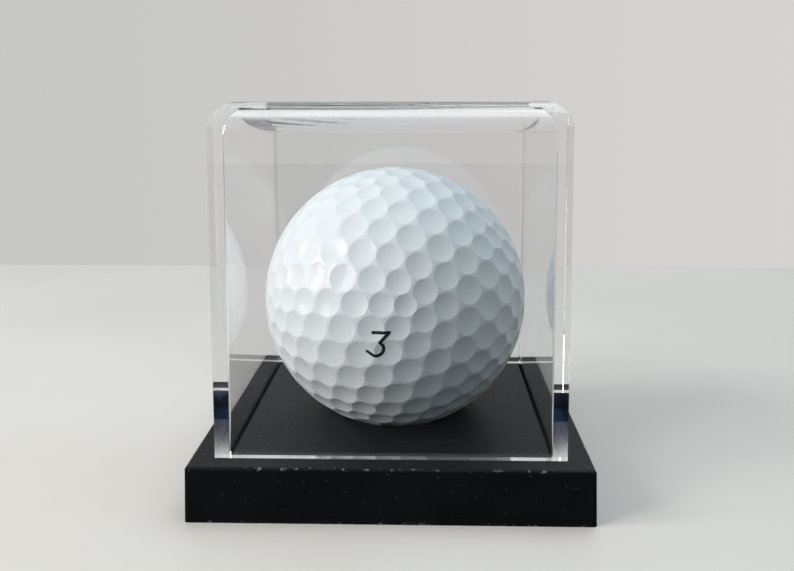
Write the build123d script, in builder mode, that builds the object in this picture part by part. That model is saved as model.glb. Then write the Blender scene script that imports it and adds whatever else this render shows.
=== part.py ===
from build123d import *
from math import sqrt
import os

# Golf ball display case: a black moulded base, a clear box-shaped cover that stands on it
# with a tab in a slot on each side, and the ball in its dish. Millimetres, +Z up, front
# towards -Y, with the origin at the middle of the base's underside.

# ---- ball ----
ball_diameter = 42.67      # regulation golf ball
seat_depth = 2.85          # how far the ball sinks below the base's top face
seat_gap = 0.15            # between the ball and its dish

# ---- base ----
base_width = 58.5          # square, measured at the table
base_height = 8.2
base_draft = 2.4           # degrees that each side leans in
base_corner = 0.6          # radius of the upright corners
base_edge = 0.4            # radius round the top face
base_wall = 2.2            # outer wall, at the table
deck = 2.2                 # plate between the slots and the dish
slot_floor = 1.6           # plastic left under the slots and beside them
seat_floor = 1.8           # plastic left under the dish
seat_edge = 0.35           # radius round the dish's mouth
rib_width = 1.4
rib_setback = 0.8          # the ribs stop this far above the table
hollow_corner = 1.5        # radius in the corners of the hollow underside

# ---- cover ----
cover_width = 50.8         # outside, where it stands on the base
cover_height = 50.4        # from there to the top
cover_wall = 1.95
cover_top = 1.85           # plate across the top
tab_depth = 2.8            # how far each side wall goes down into its slot
tab_outer_gap = 0.1        # tab to the slot's outer side
tab_inner_gap = 0.35       # tab to the slot's inner side, open to view
tab_end_gap = 0.2          # tab to the slot's floor and ends
cover_draft = 0.85         # degrees that each side leans in
crown_radius = 3.8         # outside, along the four top edges
inner_crown_radius = 2.5
upright_radius = 0.3       # outside, along the four upright corners
inner_upright_radius = 0.3

# ---- heights and widths that follow ----
ball_radius = ball_diameter / 2
ball_height = base_height - seat_depth + ball_radius
seat_radius = ball_radius + seat_gap
seat_mouth = sqrt(seat_radius**2 - (ball_height - base_height) ** 2)
cover_inside = cover_width - 2 * cover_wall
slot_depth = tab_depth + tab_end_gap
tab_length = cover_inside - 2 * inner_upright_radius
slot_length = tab_length + 2 * tab_end_gap
slot_outside = cover_width + 2 * tab_outer_gap
slot_inside = cover_inside - 2 * tab_inner_gap
hollow_outside = base_width - 2 * base_wall
hollow_inside = slot_inside - 2 * slot_floor
hollow_height = base_height - slot_depth - slot_floor
deck_underside = base_height - deck
boss_radius = seat_mouth + seat_floor
boss_height = base_height - seat_depth - seat_gap - seat_floor


def upright(edge):
    """True for an edge that runs nearly straight up."""
    return abs(edge.tangent_at(0.5).Z) > 0.9


with BuildPart() as base:
    with BuildSketch():
        RectangleRounded(base_width, base_width, base_corner)
    extrude(amount=base_height, taper=base_draft)
    fillet(base.faces().sort_by(Axis.Z)[-1].edges(), base_edge)
    # hollow underside, shallower below the slots than between them
    with BuildSketch():
        RectangleRounded(hollow_outside, hollow_outside, hollow_corner)
    extrude(amount=hollow_height, mode=Mode.SUBTRACT)
    with BuildSketch():
        RectangleRounded(hollow_inside, hollow_outside, hollow_corner)
    extrude(amount=deck_underside, mode=Mode.SUBTRACT)
    # boss under the dish, and a cross of ribs from it to the walls
    with BuildSketch(Plane.XY.offset(boss_height)):
        Circle(boss_radius)
    extrude(amount=deck_underside - boss_height)
    with BuildSketch(Plane.XY.offset(rib_setback)):
        Rectangle(base_width - base_wall, rib_width)
        Rectangle(rib_width, base_width - base_wall)
    extrude(amount=deck_underside - rib_setback)
    # slots for the cover's tabs, along the left and right
    with BuildSketch(Plane.XY.offset(base_height)):
        Rectangle(slot_outside, slot_length)
        Rectangle(slot_inside, slot_length, mode=Mode.SUBTRACT)
    extrude(amount=-slot_depth, mode=Mode.SUBTRACT)
    # dish for the ball
    with Locations((0, 0, ball_height)):
        Sphere(seat_radius, mode=Mode.SUBTRACT)
    mouth = base.edges().filter_by(GeomType.CIRCLE).group_by(Axis.Z)[-1].sort_by(SortBy.RADIUS)[-1]
    fillet(mouth, seat_edge)
base.part.label = "base"

with BuildPart() as cover_core:
    with BuildSketch(Plane.XY.offset(base_height)):
        Rectangle(cover_inside, cover_inside)
    extrude(amount=cover_height - cover_top, taper=cover_draft)
    fillet(cover_core.faces().sort_by(Axis.Z)[-1].edges(), inner_crown_radius)
    fillet(cover_core.edges().filter_by(upright), inner_upright_radius)

with BuildPart() as cover:
    with BuildSketch(Plane.XY.offset(base_height)):
        Rectangle(cover_width, cover_width)
    extrude(amount=cover_height, taper=cover_draft)
    fillet(cover.faces().sort_by(Axis.Z)[-1].edges(), crown_radius)
    fillet(cover.edges().filter_by(upright), upright_radius)
    add(cover_core.part, mode=Mode.SUBTRACT)
    # a tab under each side wall, as thick as the wall
    with BuildSketch(Plane.XY.offset(base_height)):
        Rectangle(cover_width, tab_length)
        Rectangle(cover_inside, tab_length, mode=Mode.SUBTRACT)
    extrude(amount=-tab_depth)
cover.part.label = "cover"

with BuildPart() as golf_ball:
    with Locations((0, 0, ball_height)):
        Sphere(ball_radius)
golf_ball.part.label = "golf_ball"

os.makedirs("parts", exist_ok=True)
export_step(base.part, "parts/base.step")
export_step(cover.part, "parts/cover.step")
export_step(golf_ball.part, "parts/golf_ball.step")
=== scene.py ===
"""Golf ball display case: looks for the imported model. Lengths are in millimetres, times MM."""
from math import cos, hypot, pi, radians, sin, sqrt, tan

import bmesh
import bpy
import numpy as np
from mathutils import Euler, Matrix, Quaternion, Vector


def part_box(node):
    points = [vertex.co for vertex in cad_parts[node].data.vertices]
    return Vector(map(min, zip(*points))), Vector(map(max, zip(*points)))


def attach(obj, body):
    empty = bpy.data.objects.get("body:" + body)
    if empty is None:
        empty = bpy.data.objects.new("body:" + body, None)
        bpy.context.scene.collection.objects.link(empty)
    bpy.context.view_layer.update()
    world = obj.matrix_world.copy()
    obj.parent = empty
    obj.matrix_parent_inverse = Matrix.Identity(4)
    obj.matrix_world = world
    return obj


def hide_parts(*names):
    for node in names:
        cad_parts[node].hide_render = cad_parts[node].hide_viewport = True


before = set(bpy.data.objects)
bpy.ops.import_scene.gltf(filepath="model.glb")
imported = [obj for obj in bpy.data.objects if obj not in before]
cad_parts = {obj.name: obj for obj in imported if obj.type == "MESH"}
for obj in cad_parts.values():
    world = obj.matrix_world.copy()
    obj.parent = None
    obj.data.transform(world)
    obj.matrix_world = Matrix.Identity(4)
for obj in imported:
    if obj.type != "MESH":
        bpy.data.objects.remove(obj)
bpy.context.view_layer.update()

MM = 0.001

# ---- sizes that the frame doesn't give ----
COVER_WALL = 1.95 * MM
COVER_TOP = 1.85 * MM
COVER_DRAFT = radians(0.85)
CROWN_RADIUS = 3.8 * MM
INNER_CROWN_RADIUS = 2.5 * MM
UPRIGHT_RADIUS = 0.15 * MM
INNER_UPRIGHT_RADIUS = 0.3 * MM
TAB_DEPTH = 2.8 * MM                 # the side walls go this far down into the base
AIR_FILM = 0.03 * MM                 # between the cover's foot and the base
COVER_IOR = 1.59                     # polystyrene

DIMPLE_ROWS = 6                      # dimples along each edge of the ball's twenty triangles
DIMPLE_DEPTH = 0.30 * MM
DIMPLE_REACH = 0.478                 # a dimple's radius over the distance between middles
DIMPLE_NEIGHBOURS = 5                # as many as are round the dimples with the fewest
PATTERN_TURN = (radians(-166.6), radians(37.0), radians(38.9))
BALL_FINENESS = 8                    # subdivisions of the ball's mesh
RIM_SNAP = 0.0045                    # radians; vertices this near a rim move on to it
CHUNK = 20000                        # directions that are compared with the dimples at a time

NUMERAL_HEADING = radians(-5.2)      # from straight ahead, to the left
NUMERAL_RISE = radians(-6.3)
NUMERAL_STROKE = 0.48 * MM
NUMERAL_LIFT = 0.02 * MM
NUMERAL_STEP = 0.08                  # mm along a pen line
NUMERAL_CAP = (25, 50, 75)           # degrees round a pen line's end
NUMERAL_ACROSS = (1, 0.33, -0.33, -1)   # places across a pen line, over half its width

# ---- shade on the tabs' underside while they are down in the slots, from front to back ----
SHADE_START = -17 * MM               # clear in front of this
SHADE_DEEP = 8.5 * MM                # here SHADE_CLEAR of it is still clear
SHADE_SOLID = 12.5 * MM              # opaque behind this
SHADE_CLEAR = 0.03

# ---- camera ----
CAMERA_PLACE = Vector((4.714, -146.727, 59.304)) * MM
CAMERA_HEADING = radians(-1.737)     # to the right of straight ahead
CAMERA_DIP = radians(11.873)         # below level
CAMERA_ROLL = radians(-0.134)
CAMERA_LENS = 40.81                  # mm
CAMERA_SENSOR = 36                   # mm wide

# ---- surroundings ----
TABLE_BACK = 169 * MM                # where the floor ends behind the object
TABLE_REACH = 1200 * MM
FRONT_STRIP = (-36 * MM, -31 * MM)   # the floor in front of this is dark through one wall
FRONT_HALF = (80 * MM, 100 * MM)     # but not farther aside than this
ONE_WALL = 2.5                       # a ray through one wall has crossed two surfaces
# painted shade: the floor's colour is darkened where the windows light it
LAMP_GROUND_X = (-340 * MM, -150 * MM)  # the floor under the windows is darker
LAMP_GROUND_Y = (-200 * MM, -50 * MM)
LAMP_AIM = Vector((0, 0, 28)) * MM
WINDOW_SIZE = (150 * MM, 340 * MM)
WINDOW_COLOUR = (1.0, 0.965, 0.94)
CEILING_SIZE = (500 * MM, 500 * MM)
COOL_WHITE = (0.80, 0.92, 1.0)
NOISE_SPAN = (0.3, 0.7)              # most of a noise lies between these


# ---------------------------------------------------------------- shader helpers
class Shader:
    """Makes and joins the nodes of one material or world."""

    def __init__(self, owner):
        owner.use_nodes = True
        self.nodes, self.links = owner.node_tree.nodes, owner.node_tree.links

    def put(self, socket, value):
        """Link another node's output to an input, or set the input's own value."""
        if isinstance(value, bpy.types.NodeSocket):
            self.links.new(value, socket)
        else:
            socket.default_value = value

    def add(self, kind, sockets=None, **settings):
        """A node with these settings and inputs."""
        node = self.nodes.new("ShaderNode" + kind)
        for key, value in settings.items():
            setattr(node, key, value)
        for key, value in (sockets or {}).items():
            self.put(node.inputs[key], value)
        return node

    def feed(self, node, **sockets):
        """Inputs of a node that is there already, by name."""
        for key, value in sockets.items():
            self.put(node.inputs[key.replace("_", " ")], value)

    def math(self, operation, a, b=0.0):
        return self.add("Math", {0: a, 1: b}, operation=operation).outputs[0]

    def times(self, a, b):
        return self.math("MULTIPLY", a, b)

    def larger(self, a, b):
        return self.math("MAXIMUM", a, b)

    def axes(self, where):
        """X, Y and Z of a position or direction."""
        return self.add("SeparateXYZ", {0: where}).outputs

    def ramp(self, value, low, high, start=0.0, end=1.0):
        """Runs smoothly from start to end while value goes from low to high."""
        sockets = {"Value": value, "From Min": low, "From Max": high}
        sockets.update({"To Min": start, "To Max": end})
        return self.add("MapRange", sockets, interpolation_type="SMOOTHSTEP").outputs[0]

    def mix(self, share, a, b):
        """The colour a where share is 0, b where it is 1."""
        node = self.add("Mix", data_type="RGBA")
        for index, value in ((0, share), (6, a), (7, b)):    # Mix's own inputs for colours
            self.put(node.inputs[index], value)
        return node.outputs[2]

    def place(self, scale=(1, 1, 1), turn=(0, 0, 0)):
        """Position on the object in metres, scaled and turned."""
        where = self.add("TexCoord").outputs["Object"]
        return self.add("Mapping", {"Vector": where, "Scale": scale, "Rotation": turn}).outputs[0]

    def noise(self, where, scale, detail=2.0, roughness=0.5):
        sockets = {"Vector": where, "Scale": scale, "Detail": detail, "Roughness": roughness}
        return self.add("TexNoise", sockets).outputs["Fac"]

    def cloud(self, where, scale, detail=2.0, low=0.0, high=1.0):
        """Noise, widened to run from low to high."""
        return self.ramp(self.noise(where, scale, detail), *NOISE_SPAN, low, high)

    def specks(self, where, scale, size, share):
        """Up to 1 on small round specks in a share of cells."""
        cells = self.add("TexVoronoi", {"Vector": where, "Scale": scale})
        pick = self.add("SeparateColor", {0: cells.outputs["Color"]}).outputs
        near = self.ramp(cells.outputs["Distance"], size * 0.5, size, 1.0, 0.0)
        near = self.times(near, self.math("LESS_THAN", pick[0], share))
        return self.times(near, pick[1])

    def scratches(self, scale, turn, amount):
        """1 on sparse hairlines, long in one direction."""
        stretched = self.place((scale * 0.03, scale, scale), (0, 0, turn))
        lines = self.noise(stretched, scale=1.0, detail=1.0)
        return self.ramp(lines, 0.78 - amount, 0.84 - amount)

    def bump(self, height, strength, distance):
        sockets = {"Height": height, "Strength": strength, "Distance": distance}
        return self.add("Bump", sockets).outputs[0]


def new_object(name, data):
    """An object with this data, in the scene."""
    obj = bpy.data.objects.new(name, data)
    bpy.context.scene.collection.objects.link(obj)
    return obj


def smoothed(mesh, normals=None):
    """The mesh, shaded smooth, with these corner normals if there are any."""
    mesh.polygons.foreach_set("use_smooth", [True] * len(mesh.polygons))
    if normals is not None:
        mesh.normals_split_custom_set(normals)
    mesh.update()
    return mesh


def new_material(name):
    """A node material: itself, its node maker and its Principled shader."""
    mat = bpy.data.materials.new(name)
    shader = Shader(mat)
    return mat, shader, shader.nodes["Principled BSDF"]


def new_piece(name, mesh, material, body, replaces):
    """An object that rides on a body and takes the place of a node, if one is named."""
    piece = new_object(name, mesh)
    mesh.materials.append(material)
    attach(piece, body)
    if replaces:
        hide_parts(replaces)
    return piece


# ---------------------------------------------------------------- cover
def shell_rings(half, low, top, crown, upright, steps=20):
    """Rings (height, half width, corner radius, normal's elevation) up a drafted box."""
    centre_z = top - crown
    centre_half = half - (centre_z + crown * sin(COVER_DRAFT) - low) * tan(COVER_DRAFT)
    centre_half -= crown * cos(COVER_DRAFT)
    rings = [(low, half, upright, COVER_DRAFT)]
    for i in range(steps + 1):
        up = COVER_DRAFT + (pi / 2 - COVER_DRAFT) * i / steps
        height, reach = centre_z + crown * sin(up), centre_half + crown * cos(up)
        rings.append((height, reach, upright * cos(up), up))
    return rings


def ring_points(half, corner, steps=6):
    """Points and outward headings round a square with rounded corners."""
    out = []
    for quarter in range(4):
        for i in range(steps + 1):
            heading = (quarter + i / steps) * pi / 2
            sx = 1 if quarter in (0, 3) else -1
            sy = 1 if quarter in (0, 1) else -1
            x = sx * (half - corner) + corner * cos(heading)
            y = sy * (half - corner) + corner * sin(heading)
            out.append((x, y, heading))
    return out


class Skin:
    """Vertices, faces and exact corner normals of a closed mesh."""

    def __init__(self):
        self.verts, self.faces, self.normals = [], [], []

    def points(self, points):
        start = len(self.verts)
        self.verts.extend(points)
        return list(range(start, len(self.verts)))

    def face(self, corners, outward):
        """A face of (vertex, normal) corners, wound so that it faces along the way outward."""
        p = [Vector(self.verts[v]) for v, n in corners]
        area = sum((a.cross(b) for a, b in zip(p, p[1:] + p[:1])), Vector())
        if area.dot(Vector(outward)) < 0:
            corners = corners[::-1]
        self.faces.append([v for v, n in corners])
        self.normals.extend(n for v, n in corners)

    def flat(self, verts, normal):
        self.face([(v, normal) for v in verts], normal)

    def mesh(self, name):
        made = bpy.data.meshes.new(name)
        made.from_pydata([tuple(v) for v in self.verts], [], self.faces)
        return smoothed(made, [tuple(n) for n in self.normals])


def add_shell(skin, rings, sign, left_out):
    """Side bands and top of a box of rings, facing out (sign 1) or in (-1), without the lowest
    band's faces in left_out; gives the points of the lowest two rings."""
    def normal(heading, up):
        return Vector((cos(heading) * cos(up), sin(heading) * cos(up), sin(up))) * sign

    made = []
    for height, half, corner, up in rings:
        around = ring_points(half, corner)
        points = skin.points([(x, y, height) for x, y, heading in around])
        made.append((points, [heading for x, y, heading in around], up))
    for level, ((low, heads, up_low), (high, _, up_high)) in enumerate(zip(made, made[1:])):
        for i in range(len(low)):
            j = (i + 1) % len(low)
            if level == 0 and i in left_out:
                continue
            quad = [(low[i], normal(heads[i], up_low)), (low[j], normal(heads[j], up_low))]
            quad += [(high[j], normal(heads[j], up_high)), (high[i], normal(heads[i], up_high))]
            skin.face(quad, normal((heads[i] + heads[j]) / 2 if j else heads[i], up_low))
    skin.flat(made[-1][0], Vector((0, 0, sign)))
    return made[0][0], made[1][0]


def tab_reach():
    """Half the length of a tab."""
    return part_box("cover")[1].x - COVER_WALL - INNER_UPRIGHT_RADIUS


def cover_mesh():
    """Clear cover as one closed skin: outer box, inner box, flat foot, a tab under each side."""
    low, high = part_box("cover")
    foot = low.z + TAB_DEPTH + AIR_FILM
    half = high.x
    inside = half - COVER_WALL
    reach = tab_reach()
    ceiling = high.z - COVER_TOP
    outer = shell_rings(half, foot, high.z, CROWN_RADIUS, UPRIGHT_RADIUS)
    inner = shell_rings(inside, foot, ceiling, INNER_CROWN_RADIUS, INNER_UPRIGHT_RADIUS)
    skin = Skin()
    count = len(ring_points(half, UPRIGHT_RADIUS))
    left, right = count // 2 - 1, count - 1          # the straight stretches above the tabs
    outer_low, outer_next = add_shell(skin, outer, 1, (left, right))
    inner_low, _ = add_shell(skin, inner, -1, ())
    down = Vector((0, 0, -1))
    for i in range(count):
        j = (i + 1) % count
        if i not in (left, right):
            skin.flat([outer_low[i], outer_low[j], inner_low[j], inner_low[i]], down)
    for side, i in ((-1, left), (1, right)):
        ends = sorted((i, (i + 1) % count), key=lambda k: skin.verts[outer_low[k]][1])
        front, back = outer_low[ends[0]], outer_low[ends[1]]
        # corners of the tab's outer and inner face: front top, front low, back low, back top
        edge = [(-reach, foot), (-reach, low.z), (reach, low.z), (reach, foot)]
        out = skin.points([(side * half, y, z) for y, z in edge])
        in_low = skin.points([(side * inside, y, z) for y, z in edge[1:3]])
        inn = [inner_low[ends[0]], *in_low, inner_low[ends[1]]]
        skin.flat([front, out[0], inn[0]], down)
        skin.flat([back, out[3], inn[3]], down)
        lean = Vector((side * cos(COVER_DRAFT), 0, sin(COVER_DRAFT)))
        wall = [front, out[0], out[3], back, outer_next[ends[1]], outer_next[ends[0]]]
        skin.flat(wall, lean)
        skin.flat(out, Vector((side, 0, 0)))
        skin.flat(inn, Vector((-side, 0, 0)))
        for k, way in enumerate(((0, -1, 0), (0, 0, -1), (0, 1, 0))):
            skin.flat([out[k], out[k + 1], inn[k + 1], inn[k]], Vector(way))
    return skin.mesh("cover_shell")


def cover_material():
    """Clear plastic with a little dust and a few hairlines. The tabs' undersides and back ends
    carry painted shade where they rest in the slots: opaque and dark, more so towards the back."""
    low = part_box("cover")[0]
    mat, shader, bsdf = new_material("clear_polystyrene")
    where = shader.place()
    dust = shader.specks(where, scale=420.0, size=0.05, share=0.10)
    lines = shader.scratches(scale=900.0, turn=0.7, amount=0.06)
    marks = shader.larger(dust, shader.times(lines, 0.35))
    axes = shader.axes(shader.add("NewGeometry").outputs["Position"])
    under = shader.ramp(axes["Z"], low.z + 0.02 * MM, low.z + 0.05 * MM, 1.0, 0.0)
    mouth = low.z + TAB_DEPTH                        # of the slots
    sunk = shader.ramp(axes["Z"], mouth - 0.2 * MM, mouth - 0.1 * MM, 1.0, 0.0)
    last = shader.ramp(axes["Y"], tab_reach() - 0.05 * MM, tab_reach() - 0.01 * MM)
    end = shader.times(sunk, last)
    # painted shade in the slots: the tabs' undersides turn opaque from front to back
    free = shader.math("POWER", SHADE_CLEAR, shader.ramp(axes["Y"], SHADE_START, SHADE_DEEP))
    ahead = shader.ramp(axes["Y"], SHADE_SOLID - 0.2 * MM, SHADE_SOLID + 0.2 * MM, 1.0, 0.0)
    free = shader.times(free, ahead)
    clear = shader.larger(free, shader.math("SUBTRACT", 1.0, shader.larger(under, end)))
    # colours of the painted shade: dark navy underneath, a little lighter on the back ends
    shade = shader.mix(end, (0.03, 0.05, 0.10, 1), (0.09, 0.11, 0.18, 1))
    shader.feed(bsdf, Base_Color=shader.mix(clear, shade, (0.975, 0.975, 0.985, 1)))
    shader.feed(bsdf, IOR=COVER_IOR, Transmission_Weight=clear)
    shader.feed(bsdf, Specular_IOR_Level=shader.times(clear, 0.5))
    shader.feed(bsdf, Roughness=shader.larger(shader.times(marks, 0.18), shader.times(under, 0.3)))
    shader.feed(bsdf, Normal=shader.bump(marks, strength=0.10, distance=0.02 * MM))
    return mat


def make_cover():
    mesh, material = cover_mesh(), cover_material()
    piece = new_piece("cover_shell", mesh, material, "cover", "cover")
    # lamps and bounced light pass straight through the clear walls, neither blocked nor focused
    piece.visible_shadow = False
    piece.visible_diffuse = False


# ---------------------------------------------------------------- ball
def icosahedron():
    """The twenty triangles of an icosahedron."""
    golden = (1 + sqrt(5)) / 2
    corners = []
    for a in (-1, 1):
        for b in (-golden, golden):
            corners += [Vector((0, a, b)), Vector((a, b, 0)), Vector((b, 0, a))]
    trios = []
    for i in range(12):
        for j in range(i + 1, 12):
            for k in range(j + 1, 12):
                p, q, r = corners[i], corners[j], corners[k]
                sides = ((p - q).length, (q - r).length, (r - p).length)
                if all(abs(side - 2) < 1e-6 for side in sides):
                    trios.append((p, q, r))
    return trios


def dimple_centres():
    """Directions of the dimples: a triangular grid on each side of the icosahedron."""
    found = {}
    for p, q, r in icosahedron():
        for a in range(DIMPLE_ROWS + 1):
            for b in range(DIMPLE_ROWS + 1 - a):
                d = (p * a + q * b + r * (DIMPLE_ROWS - a - b)).normalized()
                found[tuple(round(c, 4) for c in d)] = d
    turn = Euler(PATTERN_TURN, "XYZ").to_matrix()
    return np.array([tuple(turn @ d) for d in found.values()])


class Dimples:
    """Bowls sunk into a ball: where they are, how wide, and the surface they leave."""

    def __init__(self, centres, radius):
        self.centres, self.radius = centres, radius
        apart = np.sort(np.arccos(np.clip(centres @ centres.T, -1, 1)), axis=1)
        self.half = apart[:, 1:1 + DIMPLE_NEIGHBOURS].mean(axis=1) * DIMPLE_REACH

    def nearest(self, heads):
        """For each direction the dimple it is deepest in, and how far out in it, 1 at its rim."""
        pick = np.empty(len(heads), dtype=int)
        across = np.empty(len(heads))
        for start in range(0, len(heads), CHUNK):
            part = heads[start:start + CHUNK]
            ratio = np.arccos(np.clip(part @ self.centres.T, -1, 1)) / self.half
            best = ratio.argmin(axis=1)
            pick[start:start + CHUNK] = best
            across[start:start + CHUNK] = ratio[np.arange(len(part)), best]
        return pick, across

    def reach(self, across):
        """Distance of the surface from the ball's middle."""
        return self.radius - DIMPLE_DEPTH * np.clip(1 - across ** 2, 0, None)

    def snapped(self, heads, slack):
        """Directions with those near a rim moved on to it."""
        pick, across = self.nearest(heads)
        middle = self.centres[pick]
        aside = heads - (heads * middle).sum(axis=1)[:, None] * middle
        aside /= np.linalg.norm(aside, axis=1)[:, None] + 1e-12
        rim = np.cos(self.half[pick])[:, None] * middle + np.sin(self.half[pick])[:, None] * aside
        close = np.abs(across - 1) * self.half[pick] < slack
        return np.where(close[:, None], rim, heads)

    def normals(self, heads, pick):
        """Surface normals at directions, each in its dimple, or on the land where pick is -1."""
        middle = self.centres[pick]
        cosine = np.clip((heads * middle).sum(axis=1), -1, 1)
        angle = np.arccos(cosine)
        aside = heads * cosine[:, None] - middle
        aside /= np.linalg.norm(aside, axis=1)[:, None] + 1e-12
        slope = 2 * DIMPLE_DEPTH * angle / self.half[pick] ** 2 / self.radius
        slope = np.where(pick < 0, 0, slope)
        out = heads - aside * slope[:, None]
        return out / np.linalg.norm(out, axis=1)[:, None]


def ball_mesh(dimples, middle):
    """A fine triangle mesh whose edges follow the dimples' crisp rims, with exact normals."""
    bm = bmesh.new()
    bmesh.ops.create_icosphere(bm, subdivisions=BALL_FINENESS, radius=1.0)
    mesh = bpy.data.meshes.new("dimpled_ball")
    bm.to_mesh(mesh)
    bm.free()
    heads = np.empty(len(mesh.vertices) * 3)
    mesh.vertices.foreach_get("co", heads)
    heads = heads.reshape(-1, 3)
    heads /= np.linalg.norm(heads, axis=1)[:, None]
    heads = dimples.snapped(heads, RIM_SNAP)
    across = dimples.nearest(heads)[1]
    points = heads * dimples.reach(across)[:, None] + np.array(middle)
    mesh.vertices.foreach_set("co", points.ravel())
    corners = np.empty(len(mesh.loops), dtype=np.int32)
    mesh.loops.foreach_get("vertex_index", corners)
    tris = corners.reshape(-1, 3)
    centre = heads[tris].sum(axis=1)
    centre /= np.linalg.norm(centre, axis=1)[:, None]
    own, far = dimples.nearest(centre)
    own = np.where(far < 1, own, -1)
    normals = dimples.normals(heads[corners], np.repeat(own, 3))
    return smoothed(mesh, normals.tolist())


def numeral_lines():
    """A flat-topped 3 as three pen lines, in millimetres about its middle."""
    middle_x, middle_y, radius = -0.25, -0.72, 1.13
    turns = [radians(a) for a in range(58, -121, -4)]
    bowl = [(middle_x + radius * cos(a), middle_y + radius * sin(a)) for a in turns]
    top = [(-0.67, 1.72), (1.74, 1.81)]
    slant = [(1.74, 1.81), (0.35, 0.26)]
    lines = []
    for corners in (top, slant, bowl + [(-1.58, -1.21)]):
        line = [corners[0]]
        for (x0, y0), (x1, y1) in zip(corners, corners[1:]):
            count = max(1, round(hypot(x1 - x0, y1 - y0) / NUMERAL_STEP))
            for i in range(1, count + 1):
                line.append((x0 + (x1 - x0) * i / count, y0 + (y1 - y0) * i / count))
        lines.append(line)
    return lines


def direction(heading, rise, ahead=1):
    """The way with this rise, and this heading to the right of the back (ahead 1) or front (-1)."""
    return Vector((sin(heading) * cos(rise), ahead * cos(heading) * cos(rise), sin(rise)))


def numeral_mesh(dimples, middle):
    """The numeral's pen lines as ribbons with round ends, laid on the dimpled surface."""
    facing = direction(NUMERAL_HEADING, NUMERAL_RISE, -1)
    across = Vector((0, 0, 1)).cross(facing).normalized()
    upward = facing.cross(across)
    radius = dimples.radius
    half = NUMERAL_STROKE / 2
    flat, faces = [], []
    for line in numeral_lines():
        rows = []
        for index, (x, y) in enumerate(line):
            xa, ya = line[max(index - 1, 0)]
            xb, yb = line[min(index + 1, len(line) - 1)]
            size = hypot(xb - xa, yb - ya)
            rows.append((x * MM, y * MM, (xb - xa) / size, (yb - ya) / size, half))
        caps = [(cos(radians(a)), sin(radians(a))) for a in NUMERAL_CAP]
        x, y, dx, dy, _ = rows[0]
        first = [(x - dx * half * s, y - dy * half * s, dx, dy, half * c) for c, s in caps[::-1]]
        x, y, dx, dy, _ = rows[-1]
        last = [(x + dx * half * s, y + dy * half * s, dx, dy, half * c) for c, s in caps]
        rows = first + rows + last
        start = len(flat)
        for x, y, dx, dy, h in rows:
            flat += [(x - dy * h * side, y + dx * h * side) for side in NUMERAL_ACROSS]
        row = len(NUMERAL_ACROSS)
        for i in range(len(rows) - 1):
            for k in range(row - 1):
                a = start + row * i + k
                faces.append((a, a + 1, a + row + 1, a + row))
    ways = [facing * radius + across * x + upward * y for x, y in flat]
    heads = np.array([tuple(way.normalized()) for way in ways])
    reach = dimples.reach(dimples.nearest(heads)[1]) + NUMERAL_LIFT
    points = heads * reach[:, None] + np.array(middle)
    mesh = bpy.data.meshes.new("numeral")
    mesh.from_pydata([tuple(p) for p in points], [], faces)
    return smoothed(mesh)


def ball_material():
    """White urethane under a thin clear coat, faintly cloudy, with a few dull specks."""
    mat, shader, bsdf = new_material("ball_urethane")
    where = shader.place()
    cloudy = shader.cloud(where, scale=90.0, detail=3.0)
    specks = shader.specks(where, scale=700.0, size=0.07, share=0.05)
    white = shader.mix(cloudy, (0.785, 0.82, 0.84, 1), (0.79, 0.84, 0.855, 1))
    colour = shader.mix(shader.times(specks, 0.5), white, (0.45, 0.43, 0.40, 1))
    shader.feed(bsdf, Base_Color=colour, Specular_IOR_Level=0.3)
    shader.feed(bsdf, Coat_Weight=0.3, Coat_Roughness=0.06)
    shader.feed(bsdf, Roughness=shader.cloud(where, scale=1500.0, low=0.34, high=0.44))
    grain = shader.noise(where, scale=1800.0)
    shader.feed(bsdf, Normal=shader.bump(grain, strength=0.015, distance=0.02 * MM))
    return mat


def ink_material():
    """Black print, a little uneven."""
    mat, shader, bsdf = new_material("numeral_ink")
    where = shader.place()
    tone = shader.noise(where, scale=4000.0)
    black = shader.mix(tone, (0.002, 0.002, 0.003, 1), (0.006, 0.006, 0.008, 1))
    shader.feed(bsdf, Base_Color=black, Specular_IOR_Level=0.25)
    shader.feed(bsdf, Roughness=shader.cloud(where, scale=6000.0, low=0.3, high=0.45))
    return mat


def make_ball():
    low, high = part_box("golf_ball")
    middle = (low + high) / 2
    radius = (high.x - low.x) / 2
    dimples = Dimples(dimple_centres(), radius)
    ball, numeral = ball_mesh(dimples, middle), numeral_mesh(dimples, middle)
    new_piece("dimpled_ball", ball, ball_material(), "ball", "golf_ball")
    new_piece("numeral", numeral, ink_material(), "ball", None)


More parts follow.
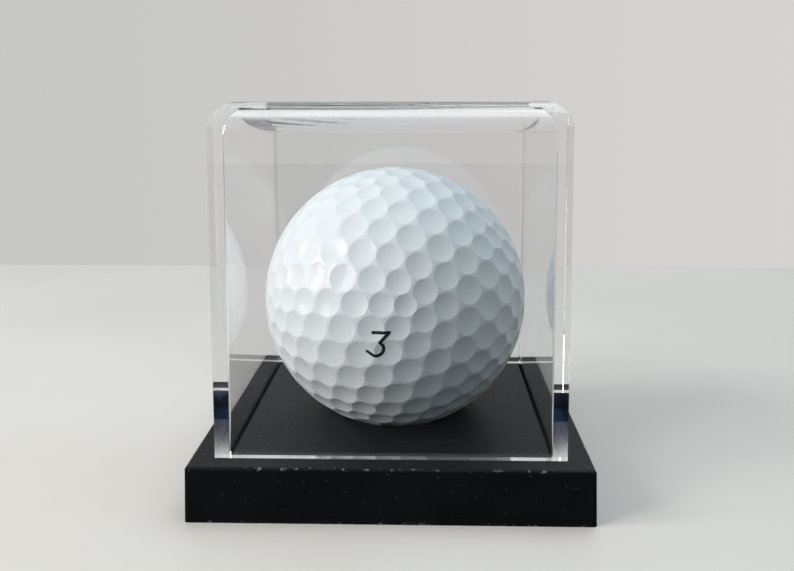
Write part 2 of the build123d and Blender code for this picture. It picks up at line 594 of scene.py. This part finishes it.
# ---------------------------------------------------------------- base
def base_material():
    """Black moulded plastic: satin grain, hairlines, dust, and scuffs along the outer edges."""
    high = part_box("base")[1]
    cover_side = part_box("cover")[1].x
    mat, shader, bsdf = new_material("black_moulding")
    where = shader.place()
    grain = shader.noise(where, scale=2600.0, detail=3.0, roughness=0.6)
    lines = shader.scratches(scale=1100.0, turn=0.25, amount=0.05)
    lines = shader.larger(lines, shader.scratches(scale=1300.0, turn=1.9, amount=0.04))
    dust = shader.specks(where, scale=950.0, size=0.09, share=0.8)
    lint = shader.specks(where, scale=330.0, size=0.045, share=0.60)
    axes = shader.axes(where)
    aside = shader.larger(shader.math("ABSOLUTE", axes["X"]), shader.math("ABSOLUTE", axes["Y"]))

    # scuffs, on the outer edges at the top and at the foot
    outside = shader.ramp(aside, high.x - 0.75 * MM, high.x - 0.55 * MM)
    rim = shader.ramp(axes["Z"], high.z - 0.45 * MM, high.z - 0.25 * MM)
    foot = shader.ramp(axes["Z"], 0.15 * MM, 0.45 * MM, 1.0, 0.0)
    worn = shader.times(outside, shader.larger(rim, foot))
    patchy = shader.noise(where, scale=900.0, detail=4.0, roughness=0.7)
    scuffs = shader.times(worn, shader.times(shader.ramp(patchy, 0.56, 0.66), 0.5))

    # the top beside the cover is a little less dusty
    top = shader.ramp(axes["Z"], high.z - 0.3 * MM, high.z - 0.1 * MM)
    bare = shader.times(top, shader.ramp(aside, cover_side - 0.1 * MM, cover_side + 0.2 * MM))
    specks = shader.times(shader.larger(dust, lint), shader.ramp(bare, 0, 1, 1.0, 0.6))
    specks = shader.larger(specks, scuffs)

    cloudy = shader.cloud(where, scale=120.0, detail=3.0)
    black = shader.mix(cloudy, (0.006, 0.006, 0.006, 1), (0.008, 0.008, 0.0082, 1))
    marked = shader.mix(shader.times(lines, 0.25), black, (0.05, 0.052, 0.058, 1))
    dusty = shader.mix(shader.times(specks, 0.9), marked, (0.38, 0.385, 0.39, 1))
    shader.feed(bsdf, Base_Color=dusty, Specular_Tint=(0.70, 0.95, 1.0, 1))
    shader.feed(bsdf, Specular_IOR_Level=shader.ramp(bare, 0, 1, 0.14, 0.10))
    rough = shader.ramp(grain, *NOISE_SPAN, 0.40, 0.50)
    shader.feed(bsdf, Roughness=shader.math("ADD", rough, shader.times(dust, 0.3)))
    height = shader.math("ADD", grain, shader.times(lines, -0.8))
    shader.feed(bsdf, Normal=shader.bump(height, strength=0.12, distance=0.02 * MM))
    return mat


def dress_base():
    """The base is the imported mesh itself, with its own material."""
    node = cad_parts["base"]
    node.data.materials.clear()
    node.data.materials.append(base_material())


# ---------------------------------------------------------------- stage, light and camera
def floor_material():
    """Pale table top. It is darker in reflections and as a source of light than it looks. In
    front of the base it is also dark through one wall, or that wall would veil the base."""
    mat, shader, bsdf = new_material("pale_floor")
    where = shader.place()
    tone = shader.cloud(where, scale=14.0, detail=4.0)
    pale = shader.mix(tone, (0.70, 0.645, 0.59, 1), (0.74, 0.69, 0.64, 1))
    axes = shader.axes(where)
    # painted shade on the floor under the windows, in place of the lamps' pool of light there
    shade = shader.ramp(axes["X"], *LAMP_GROUND_X)
    shade = shader.times(shade, shader.ramp(axes["Y"], *LAMP_GROUND_Y, 0.15, 1.0))
    pale = shader.mix(shade, (0.10, 0.093, 0.086, 1), pale)
    rays = shader.add("LightPath").outputs
    aside = shader.ramp(shader.math("ABSOLUTE", axes["X"]), *FRONT_HALF)
    kept = shader.larger(aside, shader.ramp(axes["Y"], *FRONT_STRIP))
    far = shader.math("GREATER_THAN", rays["Transmission Depth"], ONE_WALL)
    seen = shader.times(rays["Is Transmission Ray"], shader.larger(kept, far))
    seen = shader.larger(rays["Is Camera Ray"], seen)
    mirrored, bounced = (0.015, 0.015, 0.015, 1), (0.09, 0.088, 0.086, 1)
    unseen = shader.mix(rays["Is Diffuse Ray"], mirrored, bounced)
    shader.feed(bsdf, Base_Color=shader.mix(seen, unseen, pale))
    shader.feed(bsdf, Roughness=0.42, Specular_IOR_Level=shader.times(seen, 0.4))
    return mat


def make_stage():
    """A table top that ends behind the object and goes on out of view on the other sides."""
    reach, back = TABLE_REACH, TABLE_BACK
    mesh = bpy.data.meshes.new("floor")
    corners = [(-reach, -reach, 0), (reach, -reach, 0), (reach, back, 0), (-reach, back, 0)]
    mesh.from_pydata(corners, [], [(0, 1, 2, 3)])
    mesh.materials.append(floor_material())
    floor = new_object("floor", mesh)


def make_world():
    """Soft room light. The camera sees the wall, the clear cover the wall under a pale ceiling,
    gloss a room with a bright side to the left, and what is lit gets the soft light."""
    world = bpy.data.worlds.new("studio")
    bpy.context.scene.world = world
    shader = Shader(world)
    axes = shader.axes(shader.add("TexCoord").outputs["Generated"])    # of the ray's direction
    across = shader.ramp(axes["X"], -0.4, 0.4)
    wall = shader.mix(across, (0.575, 0.575, 0.560, 1), (0.67, 0.65, 0.63, 1))
    across = shader.ramp(axes["X"], -0.7, 0.1)
    front = shader.mix(across, (0.85, 0.87, 0.90, 1), (0.22, 0.23, 0.25, 1))
    room = shader.mix(shader.ramp(axes["Y"], -0.2, 0.5), front, wall)
    room = shader.mix(shader.ramp(axes["Z"], 0.35, 0.9), room, (*COOL_WHITE, 1))
    across = shader.ramp(axes["X"], -0.9, 0.6)
    soft = shader.mix(across, (0.44, 0.485, 0.495, 1), (0.32, 0.37, 0.39, 1))
    soft = shader.mix(shader.ramp(axes["Y"], -0.2, 0.8), soft, (0.26, 0.315, 0.35, 1))
    rays = shader.add("LightPath").outputs
    lit = shader.mix(rays["Is Glossy Ray"], soft, room)
    through = shader.mix(shader.ramp(axes["Z"], 0.25, 0.85), wall, (0.87, 0.865, 0.86, 1))
    glass = shader.mix(rays["Is Transmission Ray"], lit, through)
    colour = shader.mix(rays["Is Camera Ray"], glass, wall)
    shader.feed(shader.nodes["Background"], Color=colour, Strength=1.0)


def add_lamp(name, place, size, power, colour):
    """A rectangular lamp at a place in metres, turned towards the object."""
    lamp = bpy.data.lights.new(name, "AREA")
    lamp.color = colour
    lamp.shape = "RECTANGLE"
    lamp.size, lamp.size_y = size
    lamp.energy = power
    obj = new_object(name, lamp)
    obj.location = place
    obj.rotation_mode = "QUATERNION"
    obj.rotation_quaternion = (LAMP_AIM - Vector(place)).to_track_quat("-Z", "Y")
    return obj


def make_lamps():
    """Two windows at the left and a broad light above. One window isn't mirrored, and the light
    above isn't seen through the cover."""
    add_lamp("window_near", (-0.43, -0.30, 0.23), WINDOW_SIZE, 1.35, WINDOW_COLOUR)
    far = add_lamp("window_far", (-0.52, -0.12, 0.23), WINDOW_SIZE, 1.7, WINDOW_COLOUR)
    far.visible_glossy = False
    ceiling = add_lamp("ceiling", (0.17, 0.12, 0.55), CEILING_SIZE, 1.55, COOL_WHITE)
    ceiling.visible_transmission = False


def make_camera():
    data = bpy.data.cameras.new("camera")
    camera = new_object("camera", data)
    bpy.context.scene.camera = camera
    data.lens = CAMERA_LENS
    data.sensor_width = CAMERA_SENSOR
    data.clip_start = 0.005
    data.clip_end = 20
    ahead = direction(CAMERA_HEADING, -CAMERA_DIP)
    roll = Quaternion((0, 0, 1), CAMERA_ROLL)
    camera.location = CAMERA_PLACE
    camera.rotation_mode = "QUATERNION"
    camera.rotation_quaternion = ahead.to_track_quat("-Z", "Y") @ roll


make_cover()
make_ball()
dress_base()
make_stage()
make_world()
make_lamps()
make_camera()
bpy.context.scene.view_settings.view_transform = "Standard"
# light is turned back inside the cover's edges many times before it leaves them
cycles = bpy.context.scene.cycles
cycles.max_bounces = 40
cycles.glossy_bounces = 24
cycles.transmission_bounces = 24
